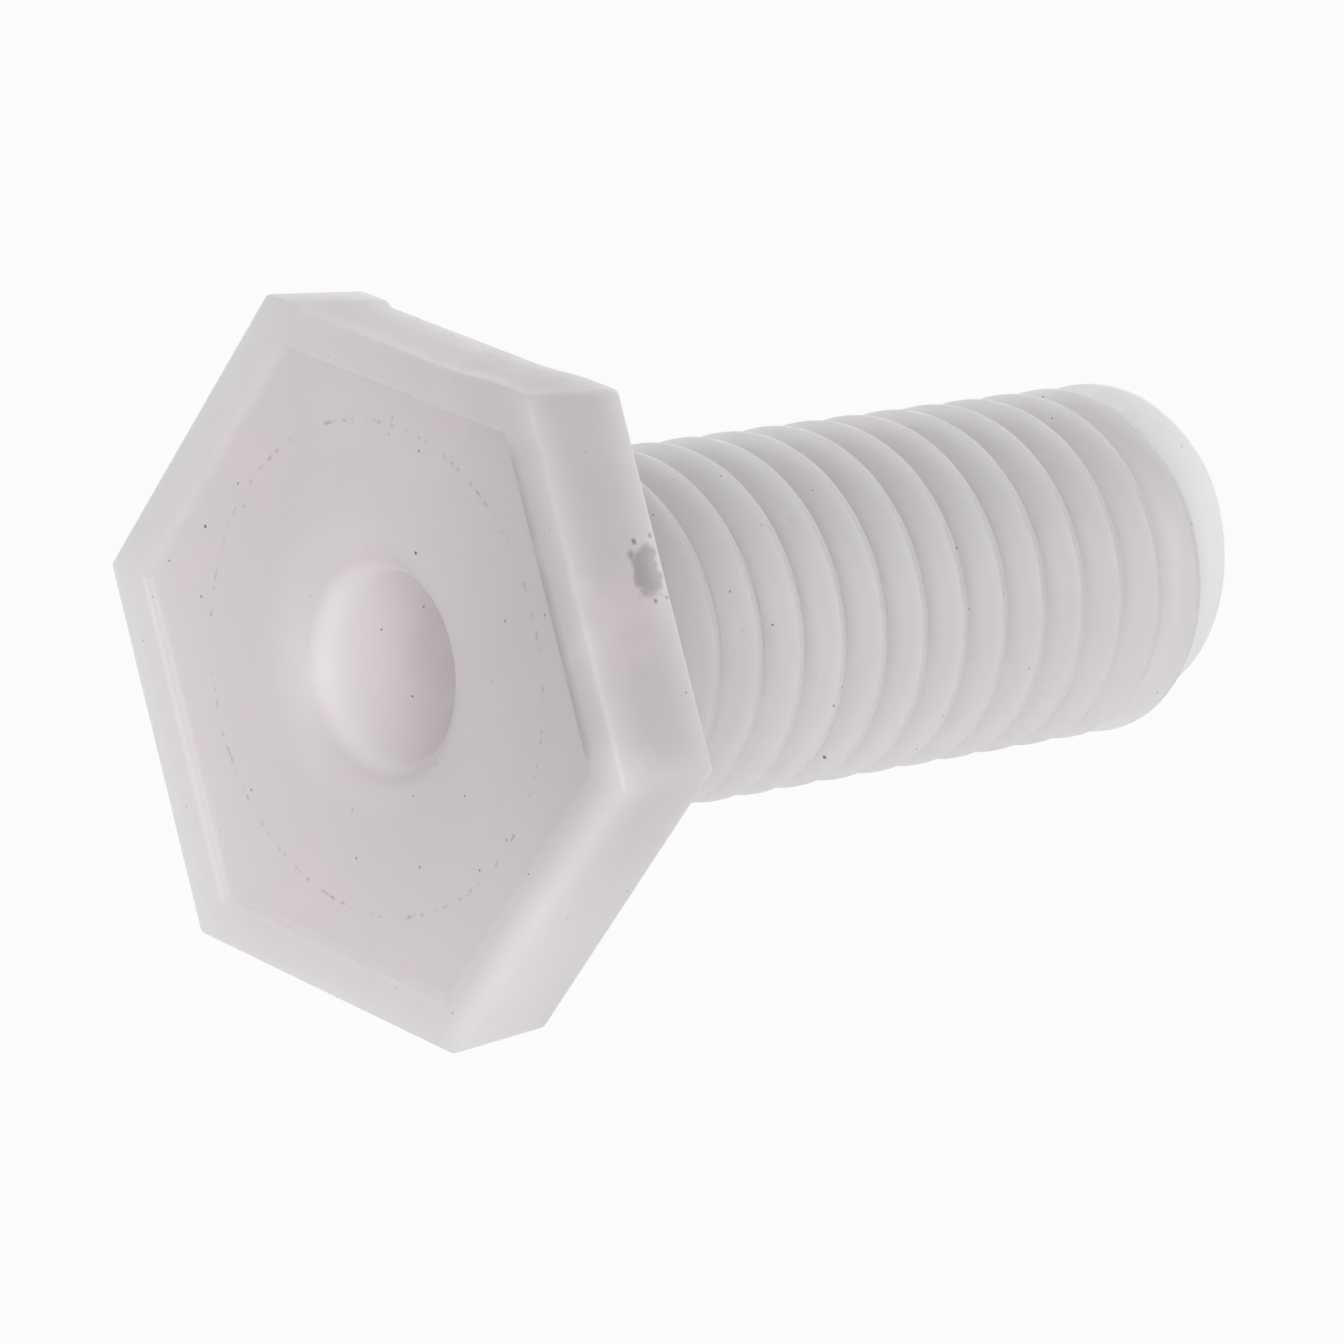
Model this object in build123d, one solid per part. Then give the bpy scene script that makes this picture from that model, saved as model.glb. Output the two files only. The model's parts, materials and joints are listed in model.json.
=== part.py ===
from build123d import *
from math import acos, atan2, ceil, degrees, hypot, radians, tan
import os

# A hexagon-headed plastic screw with a hollow shank, moulded in one piece.
# It is modelled along its own axis first: +X runs from the head to the tip,
# and the bearing face under the head lies at X = 0.  It is then turned into
# the pose in which it lies on a table, resting on one edge of the head and
# on the last turn of the thread.  The origin stays at the centre of the
# bearing face, and +Z points up.  Millimetres throughout.

# ---- head ----
head_flats_outer = 14.3      # across flats at the outer face
head_flats_bearing = 14.0    # across flats at the bearing face, less by the mould's draft
head_thickness = 2.7
head_edge_round = 0.12

# ---- shallow hexagonal recess in the outer face ----
rim_width = 1.0              # flat rim left around the recess
recess_depth = 0.25

# ---- shank and thread: metric M8 x 1.25, right-hand ----
shank_length = 20.0          # from the bearing face to the tip
neck_length = 1.5            # plain neck under the head, before the thread starts
thread_diameter = 8.0
thread_pitch = 1.25
crest_share = 1 / 8          # share of the pitch that is flat at the crest
root_share = 1 / 4           # share of the pitch that is flat at the root
flank_angle = 30.0           # each flank from the square to the axis
crest_before_tip = 1.654     # a crest on the +Y side lies this far short of the tip
groove_overshoot = 0.1       # how far the groove's cutter stands out past the crests
spare_turns = 1              # turns that the cutter runs on past each end of the shank

# ---- bore, right through, with a countersunk mouth in the head ----
bore_diameter = 4.0
mouth_diameter = 5.6
mouth_angle = 100.0          # included angle of the countersink

# ---- worked out from the values above ----
flank_width = thread_pitch * (1 - crest_share - root_share) / 2
thread_depth = flank_width / tan(radians(flank_angle))
thread_radius = thread_diameter / 2
crest_at_y = shank_length - crest_before_tip
mouth_depth = (mouth_diameter - bore_diameter) / 2 / tan(radians(mouth_angle / 2))
recess_flats = head_flats_outer - 2 * rim_width
recess_floor = -head_thickness + recess_depth


def last_crest_below():
    """X of the tip-side edge of the last crest on the underside, -Z from the axis."""
    crest = crest_at_y + thread_pitch * 3 / 4
    half_crest = thread_pitch * crest_share / 2
    while crest + half_crest > shank_length:
        crest -= thread_pitch
    while crest + thread_pitch + half_crest <= shank_length:
        crest += thread_pitch
    return crest + half_crest


def dip_on_edge(across_flats, x):
    """Dip of the tip with the screw on its last crest and a head edge rounded about X = x."""
    drop = across_flats / 2 - head_edge_round - thread_radius
    reach = last_crest_below() - x
    return acos(-head_edge_round / hypot(drop, reach)) - atan2(reach, drop)


def resting_tilt():
    """Angle by which the tip dips at rest, on whichever edge of the head stands proud."""
    on_outer_edge = dip_on_edge(head_flats_outer, head_edge_round - head_thickness)
    on_bearing_edge = dip_on_edge(head_flats_bearing, -head_edge_round)
    return max(on_outer_edge, on_bearing_edge)


def square_to_axis(x):
    """Sketch plane square to the axis at X = x, facing the tip."""
    return Plane(origin=(x, 0, 0), x_dir=(0, 1, 0), z_dir=(1, 0, 0))


def hexagon(across_flats, x):
    """Hexagon square to the axis at X = x, with one flat facing straight up."""
    return square_to_axis(x) * RegularPolygon(across_flats / 2, 6, major_radius=False)


def cylinder(diameter, start, end):
    """Cylinder on the axis from X = start to X = end."""
    return extrude(square_to_axis(start) * Circle(diameter / 2), amount=end - start)


def head():
    """Drafted hexagonal block with softened edges."""
    outer = hexagon(head_flats_outer, -head_thickness)
    bearing = hexagon(head_flats_bearing, 0)
    block = loft([outer, bearing])
    return fillet(block.edges(), head_edge_round)


def recess():
    """Shallow hexagonal pocket, open through the outer face."""
    return extrude(hexagon(recess_flats, recess_floor), amount=-2 * recess_depth)


def thread_groove():
    """Groove between the crests, wound right-handed past both ends of the shank."""
    groove_at_top = crest_at_y + thread_pitch * 3 / 4
    turns_back = ceil(groove_at_top / thread_pitch) + spare_turns
    path = Helix(
        pitch=thread_pitch,
        height=shank_length + 2 * (spare_turns + 1) * thread_pitch,
        radius=thread_radius,
        center=(groove_at_top - turns_back * thread_pitch, 0, 0),
        direction=(1, 0, 0),
    )
    half_root = thread_pitch * root_share / 2
    half_top = thread_pitch * (1 - crest_share) / 2 + groove_overshoot * tan(radians(flank_angle))
    section = Polyline(
        (-thread_depth, -half_root),
        (groove_overshoot, -half_top),
        (groove_overshoot, half_top),
        (-thread_depth, half_root),
        close=True,
    )
    section_plane = Plane(origin=path @ 0, x_dir=(0, 0, 1), z_dir=(0, -1, 0))
    return sweep(section_plane * make_face(section), path=path, is_frenet=True)


def shank():
    """Plain neck, and a thread cut square at both ends from a longer threaded rod."""
    spare = 2 * (spare_turns + 1) * thread_pitch
    rod = cylinder(thread_diameter, -spare, shank_length + spare) - thread_groove()
    threaded = rod & cylinder(2 * thread_diameter, neck_length, shank_length)
    return threaded + cylinder(thread_diameter, 0, neck_length)


def bore():
    """Bore through the whole screw, with its countersunk mouth on the recess floor."""
    hole = cylinder(bore_diameter, -2 * head_thickness, shank_length + head_thickness)
    mouth_flare = tan(radians(mouth_angle / 2))
    above = 2 * recess_depth
    wide = square_to_axis(recess_floor - above) * Circle(mouth_diameter / 2 + above * mouth_flare)
    narrow = square_to_axis(recess_floor + mouth_depth) * Circle(bore_diameter / 2)
    return hole + loft([wide, narrow])


def fixing_screw():
    """The whole screw along its own axis."""
    return head() + shank() - recess() - bore()


def lie_down(part):
    """Tip the screw about the origin into the pose in which it rests on a table."""
    return Rot(0, degrees(resting_tilt()), 0) * part


os.makedirs("parts", exist_ok=True)
export_step(lie_down(fixing_screw()), "parts/fixing_screw.step")
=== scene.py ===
import json
from collections import namedtuple
from math import asin, ceil, cos, pi, radians, sin, sqrt, tan

import bpy
from mathutils import Matrix, Vector


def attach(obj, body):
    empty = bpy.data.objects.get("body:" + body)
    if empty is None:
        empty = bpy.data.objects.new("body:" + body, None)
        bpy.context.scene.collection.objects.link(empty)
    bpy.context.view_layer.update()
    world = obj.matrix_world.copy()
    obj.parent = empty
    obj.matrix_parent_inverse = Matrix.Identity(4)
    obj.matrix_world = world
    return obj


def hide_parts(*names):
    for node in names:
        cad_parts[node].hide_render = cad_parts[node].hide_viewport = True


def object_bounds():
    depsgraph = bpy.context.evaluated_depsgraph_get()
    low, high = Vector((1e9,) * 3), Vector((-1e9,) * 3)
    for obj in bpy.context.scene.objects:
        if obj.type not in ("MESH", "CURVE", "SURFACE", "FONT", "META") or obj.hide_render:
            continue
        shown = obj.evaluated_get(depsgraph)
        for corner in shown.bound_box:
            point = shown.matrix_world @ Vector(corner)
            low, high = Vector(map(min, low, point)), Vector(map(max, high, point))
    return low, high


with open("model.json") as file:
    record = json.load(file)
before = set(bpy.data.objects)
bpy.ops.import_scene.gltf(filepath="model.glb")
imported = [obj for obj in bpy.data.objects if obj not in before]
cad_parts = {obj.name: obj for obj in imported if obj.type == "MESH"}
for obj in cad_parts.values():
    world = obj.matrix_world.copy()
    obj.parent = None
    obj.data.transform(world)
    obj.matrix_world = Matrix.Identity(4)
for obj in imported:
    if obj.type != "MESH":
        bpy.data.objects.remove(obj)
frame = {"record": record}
cad_low, cad_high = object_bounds()

# A hexagon-headed nylon screw, moulded in one piece, lying on a pale table.
# Every piece is modelled standing on the screw's own axis: Z runs from the
# head to the tip, the bearing face lies at Z = 0, and -X is the side that
# faces up once the screw lies down.  Lengths are in millimetres, and become
# metres where they reach bpy.
MM = 0.001
CLOSE = 0.0001 * MM              # nearer than this, two points are one

# ---- head ----
HEAD_FLATS_OUTER = 14.3
HEAD_FLATS_BEARING = 14.0
HEAD_THICKNESS = 2.7
HEAD_EDGE_ROUND = 0.12
RIM_WIDTH = 1.0
RECESS_DEPTH = 0.25
RECESS_EDGE_ROUND = 0.12
SINK_DEPTH = 0.1                 # the top flat sank between lands at its two corners
SINK_CRISP = (0.11, 0.135)       # where it drops and comes back, as shares of the flat's width
SINK_SOFT = (0.7, 0.76, 0.82, 0.88)

# ---- shank, thread and bore ----
SHANK_LENGTH = 20.0
NECK_LENGTH = 1.5
NECK_RADIUS = 4.0
PITCH = 1.25
THREAD_RADIUS = 3.97             # crests as moulded, a touch under the nominal
CREST_SHARE = 1 / 8
ROOT_SHARE = 1 / 4
FLANK_ANGLE = radians(30)
THREAD_ROUND = 0.03
CREST_AT_Y = 18.346              # a crest on the +Y side
BORE_RADIUS = 2.0
MOUTH_RADIUS = 2.8
MOUTH_ANGLE = radians(50)        # each side of the countersink from the axis
MOUTH_ROUND = 1.1
AROUND = 128                     # facets round every turned surface
SMOOTH_ANGLE = radians(35)

# ---- marks on the surface ----
RING_RADIUS = 5.25               # faint witness line that the mould's insert left
RING_WIDTH = 0.05
RING_SHIFT = (-0.1, -0.17)       # the insert stood a little off the axis
GATE_SHIFT = 0.25                # how far the gate stood from the flat's middle
GATE_ALONG = -0.52
GATE_DOTS = ((-0.62, -0.7, 0.1), (-0.7, -0.2, 0.08), (0.66, -0.5, 0.08), (0.62, -0.15, 0.07))

# ---- directions round the axis, from +Y by way of the top ----
GATE_FLAT = radians(150)         # the flat that holds the gate
ALONG_GATE_FLAT = radians(240)
FLAT_BELOW_GATE = radians(210)
LOWER_CORNER = radians(300)

# ---- colours ----
BODY = (0.665, 0.625, 0.65, 1)
CREAM = (0.68, 0.655, 0.64, 1)
BLUSH = (0.76, 0.65, 0.67, 1)
# Painted light: a pale colour laid on the bore, the thread and the head's lower sides.
PAINTED_LIGHT = (0.88, 0.82, 0.845, 1)
# Painted shade: a darker colour laid on the head towards the gate flat.
PAINTED_SHADE = (0.50, 0.47, 0.495, 1)
# Dark colour for dust specks, the witness ring and the gate scar, and also for a painted shade line along the
# recess edge.
SOIL_AND_SHADE = (0.09, 0.08, 0.09, 1)
TABLE = (0.85, 0.85, 0.85, 1)
WHITE = (1, 1, 1, 1)


def tip_axis():
    """Direction of the screw's axis at rest, from the head to the tip."""
    for mount in frame["record"]["mounts"]:
        if mount["name"] == "thread":
            return Vector(mount["axis"]).normalized()
    raise SystemExit("the record has no thread mount")


def lying_turn():
    """Turn about Y that lays the standing screw down along its axis."""
    return pi / 2 + asin(-tip_axis().z)


# ---- small tools for working as by hand ----

def deselect_all():
    if bpy.context.object and bpy.context.object.mode != "OBJECT":
        bpy.ops.object.mode_set(mode="OBJECT")
    bpy.ops.object.select_all(action="DESELECT")


def take_up(piece):
    """Make a piece the only one selected, and the active one."""
    deselect_all()
    piece.select_set(True)
    bpy.context.view_layer.objects.active = piece


def name_new_piece(name):
    piece = bpy.context.object
    piece.name = name
    piece.data.name = name
    return piece


def settle_place():
    """Put the active piece's place into its mesh."""
    bpy.ops.object.transform_apply(location=True, rotation=True, scale=True)


def edit(piece, kind="FACE"):
    """Open a piece in edit mode with nothing selected."""
    take_up(piece)
    bpy.ops.object.mode_set(mode="EDIT")
    bpy.ops.mesh.select_mode(type=kind)
    bpy.ops.mesh.select_all(action="DESELECT")


def pick(piece, kind, test):
    """In edit mode, select the faces or edges that pass the test."""
    bpy.ops.mesh.select_mode(type=kind)
    bpy.ops.mesh.select_all(action="DESELECT")
    bpy.ops.object.mode_set(mode="OBJECT")
    parts = {"FACE": piece.data.polygons, "EDGE": piece.data.edges}
    for part in parts[kind]:
        part.select = bool(test(part))
    bpy.ops.object.mode_set(mode="EDIT")


def finish_edit():
    bpy.ops.object.mode_set(mode="OBJECT")


def edge_ends(piece, edge):
    """Both ends of an edge, in millimetres."""
    return [piece.data.vertices[i].co / MM for i in edge.vertices]


def apply_modifier(piece, kind, **settings):
    """Add a modifier with these settings and apply it at once."""
    take_up(piece)
    modifier = piece.modifiers.new(kind.lower(), kind)
    for setting, value in settings.items():
        setattr(modifier, setting, value)
    bpy.ops.object.modifier_apply(modifier=modifier.name)


def cut_or_join(piece, other, operation):
    """Boolean of two solids; the second one is used up."""
    apply_modifier(piece, "BOOLEAN", operation=operation, object=other, solver="EXACT")
    bpy.data.objects.remove(other)


def rounded(points, radius, steps):
    """The polyline with each inner corner replaced by an arc of this radius."""
    line = [Vector(points[0])]
    for before, corner, after in zip(points, points[1:], points[2:]):
        back = (Vector(before) - Vector(corner)).normalized()
        on = (Vector(after) - Vector(corner)).normalized()
        half = back.angle(on) / 2
        centre = Vector(corner) + (back + on).normalized() * radius / sin(half)
        start = Vector(corner) + back * radius / tan(half) - centre
        end = Vector(corner) + on * radius / tan(half) - centre
        for step in range(steps + 1):
            line.append(centre + start.slerp(end, step / steps, start).normalized() * radius)
    line.append(Vector(points[-1]))
    return line


def draw_profile(name, points):
    """A chain of edges in the XZ plane, drawn by extruding one corner after another."""
    deselect_all()
    bpy.ops.mesh.primitive_plane_add(size=MM, location=(points[0].x * MM, 0, points[0].y * MM))
    piece = name_new_piece(name)
    edit(piece, "VERT")
    bpy.ops.mesh.select_all(action="SELECT")
    bpy.ops.mesh.merge(type="CENTER")
    for here, there in zip(points, points[1:]):
        step = (there - here) * MM
        bpy.ops.mesh.extrude_vertices_move(TRANSFORM_OT_translate={"value": (step.x, 0, step.y)})
    finish_edit()
    settle_place()
    return piece


def turn_profile(piece, turns=1, pitch=0.0):
    """Wind a profile round Z: a lathe for a pitch of nothing, a screw otherwise."""
    apply_modifier(
        piece, "SCREW", axis="Z", angle=2 * pi, steps=AROUND, render_steps=AROUND,
        iterations=turns, screw_offset=pitch * MM, use_merge_vertices=pitch == 0,
        merge_threshold=5 * CLOSE, use_smooth_shade=False,
    )
    edit(piece, "VERT")
    bpy.ops.mesh.select_all(action="SELECT")
    bpy.ops.mesh.remove_doubles(threshold=5 * CLOSE)
    bpy.ops.mesh.normals_make_consistent(inside=False)
    finish_edit()
    return piece


def upright_cylinder(name, sides, radius, low, high):
    """Cylinder or prism on the axis between two levels."""
    deselect_all()
    bpy.ops.mesh.primitive_cylinder_add(
        vertices=sides, radius=radius * MM, depth=(high - low) * MM,
        location=(0, 0, (low + high) / 2 * MM),
    )
    piece = name_new_piece(name)
    settle_place()
    return piece


# ---- the head ----

def head():
    """Drafted hexagon with a shallow recess, softened edges and a sunken top flat."""
    corner_radius = HEAD_FLATS_OUTER / sqrt(3)
    piece = upright_cylinder("fixing_screw_body", 6, corner_radius, -HEAD_THICKNESS, 0)
    edit(piece)
    pick(piece, "FACE", lambda face: face.normal.z > 0.9)
    draft = HEAD_FLATS_BEARING / HEAD_FLATS_OUTER
    bpy.ops.transform.resize(value=(draft, draft, 1), center_override=(0, 0, 0))
    pick(piece, "EDGE", lambda edge: True)
    bpy.ops.mesh.bevel(offset=HEAD_EDGE_ROUND * MM, offset_type="OFFSET", segments=3, profile=0.5)
    sink_recess(piece)
    finish_edit()
    sink_flat(piece)
    return piece


def sink_recess(piece):
    """Inset the outer face and press it in, with a soft edge above and below."""
    pick(piece, "FACE", lambda face: face.normal.z < -0.99)
    bpy.ops.mesh.inset(thickness=(RIM_WIDTH - HEAD_EDGE_ROUND) * MM, use_even_offset=True)
    bpy.ops.mesh.extrude_region_move(TRANSFORM_OT_translate={"value": (0, 0, RECESS_DEPTH * MM)})
    level = RECESS_DEPTH - HEAD_THICKNESS + 0.01
    reach = (HEAD_FLATS_OUTER / 2 - RIM_WIDTH) / cos(pi / 6) + RECESS_DEPTH

    def on_recess_edge(edge):
        a, b = edge_ends(piece, edge)
        lies_flat = abs(a.z - b.z) < 0.01 and a.z < level
        return lies_flat and a.xy.length < reach and b.xy.length < reach

    pick(piece, "EDGE", on_recess_edge)
    bpy.ops.mesh.bevel(offset=RECESS_EDGE_ROUND * MM, offset_type="OFFSET", segments=3, profile=0.5)


def sink_flat(piece):
    """Let the top flat down between its corner lands: a crisp step at one, a soft one at the other."""
    half = HEAD_FLATS_OUTER / sqrt(3) / 2
    edit(piece)
    for share in SINK_CRISP + SINK_SOFT:
        bpy.ops.mesh.select_all(action="SELECT")
        y = half * (1 - 2 * share)
        bpy.ops.mesh.bisect(plane_co=(0, y * MM, 0), plane_no=(0, 1, 0), threshold=CLOSE)
    finish_edit()
    top = HEAD_FLATS_BEARING / 2 - 2 * HEAD_EDGE_ROUND
    for vertex in piece.data.vertices:
        x, y, z = vertex.co / MM
        share = (half - y) / (2 * half)
        drop = (share - SINK_CRISP[0]) / (SINK_CRISP[1] - SINK_CRISP[0])
        drop = min(1, max(0, drop))
        rise = (SINK_SOFT[-1] - share) / (SINK_SOFT[-1] - SINK_SOFT[0])
        rise = min(1, max(0, rise))
        rise = rise * rise * (3 - 2 * rise)
        if -x > top:
            vertex.co.x += SINK_DEPTH * min(drop, rise) * MM


# ---- the shank ----

def thread():
    """Threaded rod, cut square at the tip, running a little way up into the neck."""
    flank = PITCH * (1 - CREST_SHARE - ROOT_SHARE) / 2
    root_radius = THREAD_RADIUS - flank / tan(FLANK_ANGLE)
    half_crest = PITCH * CREST_SHARE / 2
    half_root = PITCH * ROOT_SHARE / 2
    crest = CREST_AT_Y - PITCH / 4
    start = crest - ceil(crest / PITCH) * PITCH
    corners = [
        (root_radius, start - PITCH / 2, 0),
        (root_radius, start - PITCH / 2 + half_root, 0),
        (THREAD_RADIUS, start - half_crest, 0),
        (THREAD_RADIUS, start + half_crest, 0),
        (root_radius, start + PITCH / 2 - half_root, 0),
        (root_radius, start + PITCH / 2, 0),
    ]
    spare_turns = 4
    piece = draw_profile("thread", rounded(corners, THREAD_ROUND, steps=3))
    turn_profile(piece, turns=ceil(SHANK_LENGTH / PITCH) + spare_turns, pitch=PITCH)
    inside_neck = NECK_LENGTH - 0.3
    edit(piece)
    for level, outwards in ((inside_neck, -1), (SHANK_LENGTH, 1)):
        bpy.ops.mesh.select_all(action="SELECT")
        bpy.ops.mesh.bisect(
            plane_co=(0, 0, level * MM), plane_no=(0, 0, outwards), use_fill=True, clear_outer=True,
            threshold=CLOSE,
        )
    bpy.ops.mesh.select_all(action="SELECT")
    bpy.ops.mesh.normals_make_consistent(inside=False)
    finish_edit()
    return piece


def neck():
    """Plain length of shank under the head, let into the head."""
    inside_head = 1.0
    return upright_cylinder("neck", AROUND, NECK_RADIUS, -inside_head, NECK_LENGTH)


def bore():
    """What the core pin leaves out: the bore with its flared, softened mouth."""
    floor = RECESS_DEPTH - HEAD_THICKNESS
    beyond = 1.5
    clear_of_floor = 0.02
    mouth_depth = (MOUTH_RADIUS - BORE_RADIUS) / tan(MOUTH_ANGLE)
    outside = MOUTH_RADIUS + beyond
    corners = [
        (0, floor - beyond, 0),
        (outside, floor - beyond, 0),
        (outside, floor - clear_of_floor, 0),
        (MOUTH_RADIUS, floor, 0),
        (BORE_RADIUS, floor + mouth_depth, 0),
        (BORE_RADIUS, SHANK_LENGTH + beyond, 0),
        (0, SHANK_LENGTH + beyond, 0),
    ]
    mouth = rounded(corners[2:6], MOUTH_ROUND, steps=6)
    outline = [Vector(corner) for corner in corners[:2]] + mouth + [Vector(corners[6])]
    return turn_profile(draw_profile("bore", outline))


def fixing_screw():
    """The whole screw, laid down in its place."""
    piece = head()
    cut_or_join(piece, neck(), "UNION")
    cut_or_join(piece, thread(), "UNION")
    cut_or_join(piece, bore(), "DIFFERENCE")
    piece.rotation_euler = (0, lying_turn(), 0)
    take_up(piece)
    settle_place()
    bpy.ops.object.shade_smooth_by_angle(angle=SMOOTH_ANGLE)
    return piece


# ---- the finish ----

# A point of the surface on the standing screw, in millimetres.
Spot = namedtuple("Spot", "place down across along")


class Nodes:
    """Short calls for the nodes of one material."""

    def __init__(self, tree):
        self.tree = tree

    def add(self, kind, inputs=(), **settings):
        node = self.tree.nodes.new(kind)
        for setting, value in settings.items():
            setattr(node, setting, value)
        for socket, value in dict(inputs).items():
            if isinstance(value, bpy.types.NodeSocket):
                self.tree.links.new(value, node.inputs[socket])
            else:
                node.inputs[socket].default_value = value
        return node

    def maths(self, operation, first, second=0.0):
        return self.add("ShaderNodeMath", {0: first, 1: second}, operation=operation).outputs[0]

    def times(self, first, second):
        return self.maths("MULTIPLY", first, second)

    def plus(self, first, second):
        return self.maths("ADD", first, second)

    def most(self, first, second):
        return self.maths("MAXIMUM", first, second)

    def ramp(self, value, start, end, low=0.0, high=1.0):
        """The value run smoothly from low to high between start and end."""
        settings = {"Value": value, "From Min": start, "From Max": end, "To Min": low, "To Max": high}
        return self.add("ShaderNodeMapRange", settings, interpolation_type="SMOOTHSTEP").outputs["Result"]

    def noise(self, place, scale, detail):
        return self.add("ShaderNodeTexNoise", {"Vector": place, "Scale": scale, "Detail": detail}).outputs["Fac"]

    def mix(self, share, first, second):
        """Second colour laid over the first by the share."""
        return self.add("ShaderNodeMix", {0: share, 6: first, 7: second}, data_type="RGBA").outputs[2]

    def length(self, first, second):
        square = self.plus(self.maths("POWER", first, 2.0), self.maths("POWER", second, 2.0))
        return self.maths("SQRT", square)

    def towards(self, spot, angle):
        """Distance from the axis in this direction round it."""
        return self.plus(self.times(spot.down, -sin(angle)), self.times(spot.across, cos(angle)))


def stand_up(nodes):
    """Where the surface lies on the screw as it was modelled, before it was laid down."""
    here = nodes.add("ShaderNodeTexCoord").outputs["Object"]
    settings = {"Vector": here, "Rotation": (0, lying_turn(), 0), "Scale": (MM, MM, MM)}
    place = nodes.add("ShaderNodeMapping", settings, vector_type="TEXTURE").outputs[0]
    return Spot(place, *nodes.add("ShaderNodeSeparateXYZ", {0: place}).outputs)


def natural_nylon():
    """Undyed nylon: milky, faintly tinted, with moulding lines, dust specks and the gate's scar, and with
    painted light and shade: a paler bore, thread and lower head, a darker head towards the gate flat and a
    painted shade line along the recess edge.
    """
    material = bpy.data.materials.new("natural_nylon")
    material.use_nodes = True
    nodes = Nodes(material.node_tree)
    shader = material.node_tree.nodes["Principled BSDF"]
    spot = stand_up(nodes)

    cloud = nodes.ramp(nodes.noise(spot.place, 0.35, 3.0), 0.5, 0.72)
    veil = nodes.ramp(nodes.noise(spot.place, 0.22, 2.0), 0.48, 0.7)
    colour = nodes.mix(nodes.times(veil, 0.5), BODY, CREAM)
    # Painted light: paler bore, thread roots and crests, lower head sides and the flat below the gate flat.
    colour = nodes.mix(painted_light_places(nodes, spot), colour, PAINTED_LIGHT)
    # Painted shade: the head darkened towards the gate flat.
    colour = nodes.mix(painted_shade_side(nodes, spot), colour, PAINTED_SHADE)
    colour = nodes.mix(nodes.times(cloud, 0.35), colour, BLUSH)
    dirt_and_shade = nodes.most(specks(nodes, spot), witness_ring(nodes, spot))
    # Painted shade: a dark line along the recess edge below the gate flat, mixed in with the real dirt.
    dirt_and_shade = nodes.most(dirt_and_shade, painted_shade_line(nodes, spot))
    dirt_and_shade = nodes.most(dirt_and_shade, gate_scar(nodes, spot))
    colour = nodes.mix(dirt_and_shade, colour, SOIL_AND_SHADE)
    nodes.tree.links.new(colour, shader.inputs["Base Color"])

    grain = nodes.noise(spot.place, 2.5, 4.0)
    nodes.tree.links.new(nodes.ramp(grain, 0.3, 0.7, 0.44, 0.56), shader.inputs["Roughness"])
    wave = nodes.noise(spot.place, 0.5, 2.0)
    height = nodes.plus(nodes.times(wave, 0.8), nodes.times(grain, 0.05))
    bump = nodes.add("ShaderNodeBump", {"Height": height, "Strength": 0.5, "Distance": 0.05 * MM})
    nodes.tree.links.new(bump.outputs[0], shader.inputs["Normal"])

    shader.inputs["IOR"].default_value = 1.53
    shader.inputs["Subsurface Weight"].default_value = 1.0
    shader.inputs["Subsurface Radius"].default_value = (1.0, 0.95, 0.95)
    shader.inputs["Subsurface Scale"].default_value = 6.0 * MM
    return material


def painted_light_places(nodes, spot):
    """Painted light: paler colour in the bore, on the thread (its roots against their shade, its crests as
    painted highlight lines), on the head's lower sides and on the flat below the gate flat.
    """
    radius = nodes.length(spot.down, spot.across)
    bore_wall = nodes.ramp(radius, BORE_RADIUS + 0.05, BORE_RADIUS + 0.4, 1.0, 0.0)
    root = nodes.ramp(radius, THREAD_RADIUS - 0.62, THREAD_RADIUS - 0.17, 1.0, 0.38)
    crest = nodes.ramp(radius, THREAD_RADIUS - 0.11, THREAD_RADIUS - 0.03, 0.0, 0.44)
    on_shank = nodes.ramp(spot.along, -0.2, 0.3)
    turns = nodes.times(nodes.most(root, crest), on_shank)
    lower = nodes.ramp(nodes.towards(spot, LOWER_CORNER), -1.0, 8.0, 0.0, 0.3)
    below_gate = nodes.ramp(nodes.towards(spot, FLAT_BELOW_GATE), 6.3, 7.1, 0.0, 0.45)
    pale = nodes.most(nodes.most(lower, turns), below_gate)
    return nodes.most(pale, bore_wall)


def painted_shade_side(nodes, spot):
    """Painted shade: darker colour in the head towards the flat that holds the gate."""
    on_head = nodes.ramp(spot.along, -0.2, 0.3, 1.0, 0.0)
    return nodes.times(nodes.ramp(nodes.towards(spot, GATE_FLAT), 2.0, 7.0, 0.0, 0.6), on_head)


def specks(nodes, spot):
    """Dust and burnt specks of several sizes scattered over the whole surface."""
    def scatter(scale, size):
        cells = nodes.add("ShaderNodeTexVoronoi", {"Vector": spot.place, "Scale": scale}, feature="F1")
        chance = nodes.add("ShaderNodeSeparateColor", {0: cells.outputs["Color"]}).outputs[0]
        reach = nodes.times(nodes.ramp(chance, 0.3, 0.9), size * scale)
        inside = nodes.maths("SUBTRACT", reach, cells.outputs["Distance"])
        return nodes.ramp(inside, 0, 0.02 * scale)

    fine = nodes.times(scatter(2.2, 0.04), 0.7)
    coarse = scatter(0.7, 0.06)
    return nodes.most(fine, coarse)


def witness_ring(nodes, spot):
    """Broken hairline where the mould's round insert met the recess floor."""
    x = nodes.maths("SUBTRACT", spot.down, RING_SHIFT[0])
    y = nodes.maths("SUBTRACT", spot.across, RING_SHIFT[1])
    off = nodes.maths("ABSOLUTE", nodes.maths("SUBTRACT", nodes.length(x, y), RING_RADIUS))
    line = nodes.ramp(off, 0.02, RING_WIDTH, 1.0, 0.0)
    broken = nodes.ramp(nodes.noise(spot.place, 5.0, 3.0), 0.5, 0.7)
    on_face = nodes.ramp(spot.along, -2.4, -2.3, 1.0, 0.0)
    return nodes.times(nodes.times(line, broken), nodes.times(on_face, 0.35))


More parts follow.
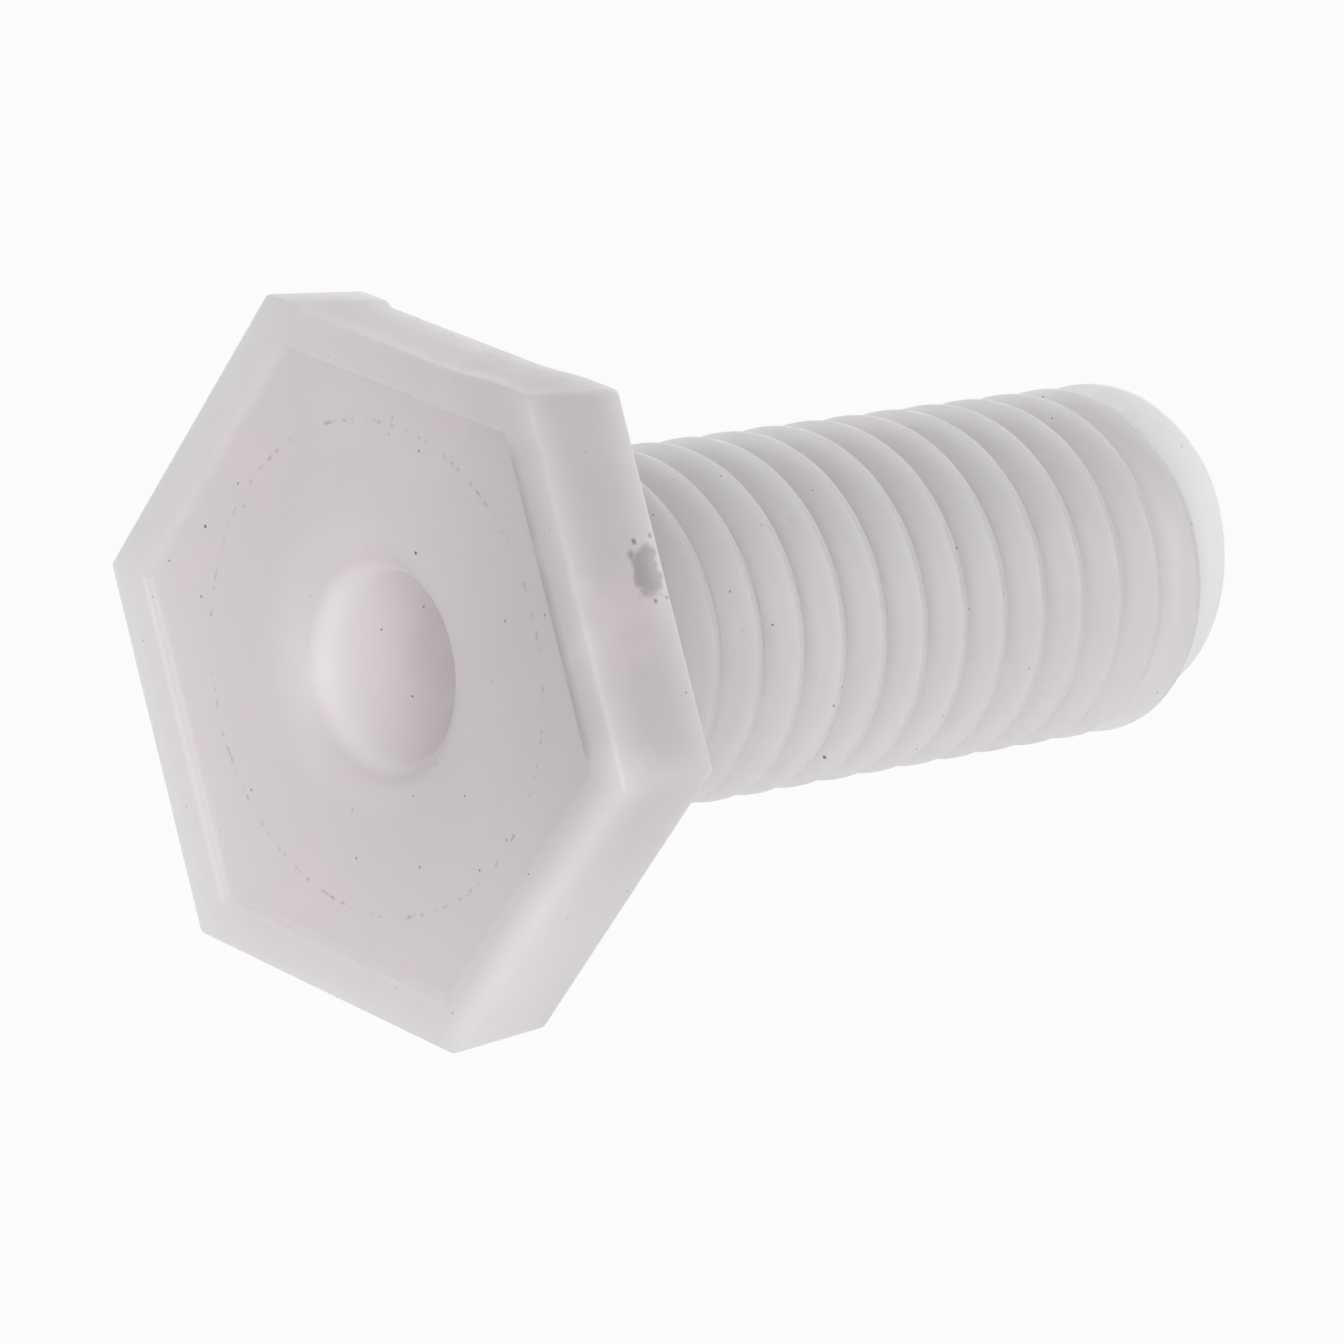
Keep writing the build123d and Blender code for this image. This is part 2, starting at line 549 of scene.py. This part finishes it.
def painted_shade_line(nodes, spot):
    """Painted shade: a dark line along the recess's edge, below one flat only: sharp inwards, fading outwards.
    """
    edge = HEAD_FLATS_OUTER / 2 - RIM_WIDTH
    out = nodes.towards(spot, GATE_FLAT)
    inner = nodes.ramp(out, edge - 0.02, edge)
    fade = nodes.ramp(out, edge + 0.02, edge + 0.4, 0.48, 0.1)
    sideways = nodes.maths("ABSOLUTE", nodes.towards(spot, ALONG_GATE_FLAT))
    ends = nodes.ramp(sideways, 2.9, 3.6, 1.0, 0.0)
    on_rim = nodes.ramp(spot.along, -2.66, -2.62, 1.0, 0.0)
    uneven = nodes.ramp(nodes.noise(spot.place, 0.8, 2.0), 0.3, 0.7, 0.6, 1.0)
    line = nodes.times(nodes.times(inner, ends), nodes.times(fade, uneven))
    return nodes.times(line, on_rim)


def gate_scar(nodes, spot):
    """Grey scar and dots where the gate was cut off, at the bearing edge of the flat beside the top one."""
    sideways = nodes.plus(nodes.towards(spot, ALONG_GATE_FLAT), GATE_SHIFT)
    wobble = nodes.ramp(nodes.noise(spot.place, 3.0, 2.0), 0.3, 0.7, -0.08, 0.08)
    middle = nodes.maths("ABSOLUTE", nodes.maths("SUBTRACT", spot.along, GATE_ALONG))
    wide = nodes.ramp(nodes.plus(nodes.maths("ABSOLUTE", sideways), wobble), 0.36, 0.56, 1.0, 0.0)
    tall = nodes.ramp(nodes.plus(middle, wobble), 0.28, 0.46, 1.0, 0.0)
    scar = nodes.times(nodes.times(wide, tall), 0.5)
    for side, along, size in GATE_DOTS:
        x = nodes.maths("SUBTRACT", sideways, side)
        z = nodes.maths("SUBTRACT", spot.along, along)
        dot = nodes.ramp(nodes.length(x, z), 0.3 * size, size, 1.0, 0.0)
        scar = nodes.most(scar, nodes.times(dot, 0.7))
    on_flat = nodes.ramp(nodes.towards(spot, GATE_FLAT), 6.7, 6.8)
    return nodes.times(scar, on_flat)


# ---- table, light and camera ----

def table_white():
    """White table top: matt and softly lit from beneath for the light, and nearly plain white to the eye."""
    glow = 0.47
    seen_white = 0.94
    material = bpy.data.materials.new("table_white")
    material.use_nodes = True
    nodes = Nodes(material.node_tree)
    nodes.tree.nodes.remove(nodes.tree.nodes["Principled BSDF"])
    matt = nodes.add("ShaderNodeBsdfDiffuse", {"Color": TABLE}).outputs[0]
    plain = nodes.add("ShaderNodeEmission", {"Color": WHITE, "Strength": 1.0}).outputs[0]
    ray = nodes.add("ShaderNodeLightPath")
    seen = nodes.most(ray.outputs["Is Camera Ray"], ray.outputs["Is Glossy Ray"])
    share = nodes.add("ShaderNodeMapRange", {"Value": seen, "To Min": glow, "To Max": seen_white})
    mix = nodes.add("ShaderNodeMixShader", {0: share.outputs["Result"], 1: matt, 2: plain})
    nodes.tree.links.new(mix.outputs[0], nodes.tree.nodes["Material Output"].inputs["Surface"])
    return material


def table_top():
    """Pale table that the screw lies on."""
    deselect_all()
    bpy.ops.mesh.primitive_plane_add(size=3.0, location=(0, 0, cad_low[2]))
    piece = name_new_piece("table_top")
    settle_place()
    piece.data.materials.append(table_white())


def white_room(strength):
    """Even light from all round, seen as plain white."""
    world = bpy.data.worlds.new("white_room")
    bpy.context.scene.world = world
    world.use_nodes = True
    nodes = Nodes(world.node_tree)
    background = world.node_tree.nodes["Background"]
    background.inputs["Color"].default_value = WHITE
    ray = nodes.add("ShaderNodeLightPath")
    seen = nodes.most(ray.outputs["Is Camera Ray"], ray.outputs["Is Glossy Ray"])
    seen = nodes.most(seen, ray.outputs["Is Transmission Ray"])
    level = nodes.add("ShaderNodeMapRange", {"Value": seen, "To Min": strength, "To Max": 1.0})
    nodes.tree.links.new(level.outputs["Result"], background.inputs["Strength"])


def soft_box(name, place, power):
    """Square area lamp aimed at the middle of the screw.  Place in metres, power in watts."""
    deselect_all()
    bpy.ops.object.light_add(type="AREA", location=place)
    lamp = bpy.context.object
    lamp.name = name
    lamp.data.shape = "SQUARE"
    lamp.data.size = 0.10
    lamp.data.energy = power
    middle = (Vector(cad_low) + Vector(cad_high)) / 2
    lamp.rotation_euler = (middle - Vector(place)).to_track_quat("-Z", "Y").to_euler()


def camera():
    """Long lens, looking down on the head from its corner side."""
    azimuth = radians(42.9135)
    elevation = radians(22.8208)
    roll = radians(0.169)
    distance = 159.745 * MM
    aim = Vector((3.354, -3.167, -0.302)) * MM
    forward = Vector((sin(azimuth) * cos(elevation), cos(azimuth) * cos(elevation), -sin(elevation)))
    data = bpy.data.cameras.new("camera")
    data.lens = 202.06
    data.sensor_width = 36
    data.clip_start = 10 * MM
    eye = bpy.data.objects.new("camera", data)
    bpy.context.scene.collection.objects.link(eye)
    turn = forward.to_track_quat("-Z", "Y").to_matrix().to_4x4() @ Matrix.Rotation(roll, 4, "Z")
    eye.matrix_world = Matrix.Translation(aim - forward * distance) @ turn
    bpy.context.scene.camera = eye


camera()
screw = fixing_screw()
screw.data.materials.clear()
screw.data.materials.append(natural_nylon())
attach(screw, "root")
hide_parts("fixing_screw")

table_top()
white_room(0.2)
soft_box("left_box", (-0.02, 0.12, 0.04), 0.028)
soft_box("back_left_box", (0.10, 0.12, 0.06), 0.04)
soft_box("back_box", (0.16, 0.02, 0.06), 0.06)
soft_box("front_box", (-0.10, -0.11, 0.06), 0.145)

bpy.context.scene.view_settings.view_transform = "Standard"
